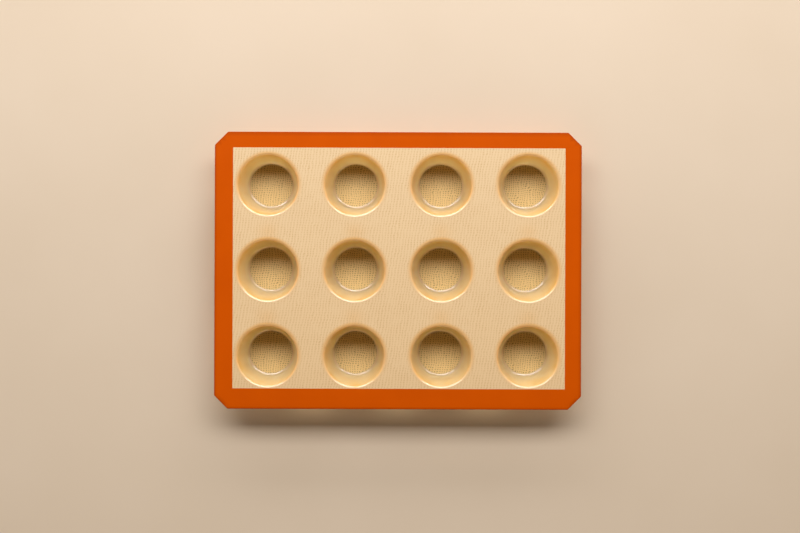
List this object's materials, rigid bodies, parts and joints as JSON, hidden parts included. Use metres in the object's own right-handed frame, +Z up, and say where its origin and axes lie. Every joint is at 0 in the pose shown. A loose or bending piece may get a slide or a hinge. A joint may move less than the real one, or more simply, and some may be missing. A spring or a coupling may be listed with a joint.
{
  "type": "silicone muffin mould",
  "caption": "Flexible rectangular baking mould of silicone-coated woven glass cloth, with a grid of tapered flat-bottomed cups and a coloured silicone edge band with cut corners.",
  "frame": {"origin": "middle of the footprint, on the plane of the undersides of the cup floors", "axes": "+X along the longer side, +Y towards the back edge, +Z up out of the cups' mouths"},
  "size_m": [0.4016, 0.3034, 0.0362],
  "materials": {
    "tan_silicone": "satin",
    "orange_silicone": "satin",
    "woven_glass": "matte"
  },
  "bodies": {
    "root": {"face_coat": "tan_silicone", "glass_cloth": "woven_glass", "back_coat": "tan_silicone", "edge_band": "orange_silicone", "cup_row1_col1": "tan_silicone", "cup_row1_col2": "tan_silicone", "cup_row1_col3": "tan_silicone", "cup_row1_col4": "tan_silicone", "cup_row2_col1": "tan_silicone", "cup_row2_col2": "tan_silicone", "cup_row2_col3": "tan_silicone", "cup_row2_col4": "tan_silicone", "cup_row3_col1": "tan_silicone", "cup_row3_col2": "tan_silicone", "cup_row3_col3": "tan_silicone", "cup_row3_col4": "tan_silicone"}
  },
  "joints": []
}
